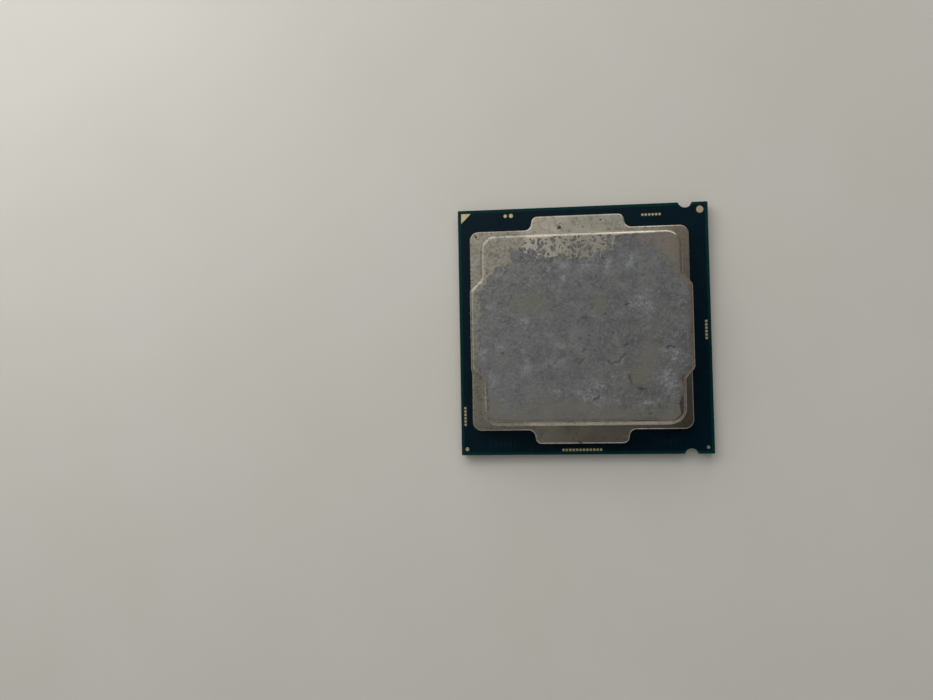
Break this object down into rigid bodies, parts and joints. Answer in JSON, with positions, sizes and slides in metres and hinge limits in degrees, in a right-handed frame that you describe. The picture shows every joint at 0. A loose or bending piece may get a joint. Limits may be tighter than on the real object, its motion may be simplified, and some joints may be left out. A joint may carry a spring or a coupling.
{
  "type": "computer processor",
  "caption": "Desktop computer processor: square substrate with contact lands below, and a metal heat spreader with smeared thermal paste on top.",
  "frame": {"origin": "centre of the square substrate, on the surface that the package stands on, which is the underside of its tallest capacitors", "axes": "+Z from the contact lands up to the heat spreader; +Y towards the edge with the pin-one triangle and the round fiducial; +X from the triangle to the fiducial"},
  "size_m": [0.0376, 0.0376, 0.005],
  "materials": {
    "laminate": "cut edge of glass-fibre epoxy laminate",
    "buildup_resin": "resin build-up layer, seen only at the cut edge",
    "solder_mask": "dark blue-green solder mask, smooth, half-gloss",
    "gold_plating": "thin gold plating over nickel",
    "nickel_plated_copper": "satin nickel plating over copper, worn and stained",
    "sealant": "black silicone sealant",
    "silicon": "polished silicon",
    "underfill": "dark epoxy underfill",
    "solder": "tin solder",
    "die_thermal_compound": "grey thermal compound",
    "thermal_paste": "dried grey thermal paste, uneven",
    "capacitor_ceramic": "brown ceramic body with tinned ends"
  },
  "bodies": {
    "root": {"corner_fiducial": "gold_plating", "corner_pad_southeast": "gold_plating", "corner_pad_southwest": "gold_plating", "decoupling_capacitor_01": "capacitor_ceramic", "decoupling_capacitor_02": "capacitor_ceramic", "decoupling_capacitor_03": "capacitor_ceramic", "decoupling_capacitor_04": "capacitor_ceramic", "decoupling_capacitor_05": "capacitor_ceramic", "decoupling_capacitor_06": "capacitor_ceramic", "decoupling_capacitor_07": "capacitor_ceramic", "decoupling_capacitor_08": "capacitor_ceramic", "decoupling_capacitor_09": "capacitor_ceramic", "decoupling_capacitor_10": "capacitor_ceramic", "decoupling_capacitor_11": "capacitor_ceramic", "decoupling_capacitor_12": "capacitor_ceramic", "decoupling_capacitor_13": "capacitor_ceramic", "decoupling_capacitor_14": "capacitor_ceramic", "decoupling_capacitor_15": "capacitor_ceramic", "decoupling_capacitor_16": "capacitor_ceramic", "decoupling_capacitor_17": "capacitor_ceramic", "decoupling_capacitor_18": "capacitor_ceramic", "decoupling_capacitor_19": "capacitor_ceramic", "decoupling_capacitor_20": "capacitor_ceramic", "decoupling_capacitor_21": "capacitor_ceramic", "decoupling_capacitor_22": "capacitor_ceramic", "decoupling_capacitor_23": "capacitor_ceramic", "decoupling_capacitor_24": "capacitor_ceramic", "die_thermal_layer": "die_thermal_compound", "die_underfill": "underfill", "filter_capacitor_01": "capacitor_ceramic", "filter_capacitor_02": "capacitor_ceramic", "filter_capacitor_03": "capacitor_ceramic", "filter_capacitor_04": "capacitor_ceramic", "filter_capacitor_05": "capacitor_ceramic", "filter_capacitor_06": "capacitor_ceramic", "heat_spreader": "nickel_plated_copper", "land_field_east": "gold_plating", "land_field_north": "gold_plating", "land_field_south": "gold_plating", "land_field_west": "gold_plating", "lid_sealant": "sealant", "lower_buildup_layer": "buildup_resin", "lower_solder_mask": "solder_mask", "pin_one_triangle": "gold_plating", "probe_pad_east": "gold_plating", "probe_pad_west": "gold_plating", "silicon_die": "silicon", "solder_bump_layer": "solder", "substrate_core": "laminate", "test_pad_row_east": "gold_plating", "test_pad_row_north": "gold_plating", "test_pad_row_south": "gold_plating", "test_pad_row_west": "gold_plating", "thermal_paste_residue": "thermal_paste", "upper_buildup_layer": "buildup_resin", "upper_solder_mask": "solder_mask"}
  },
  "joints": []
}
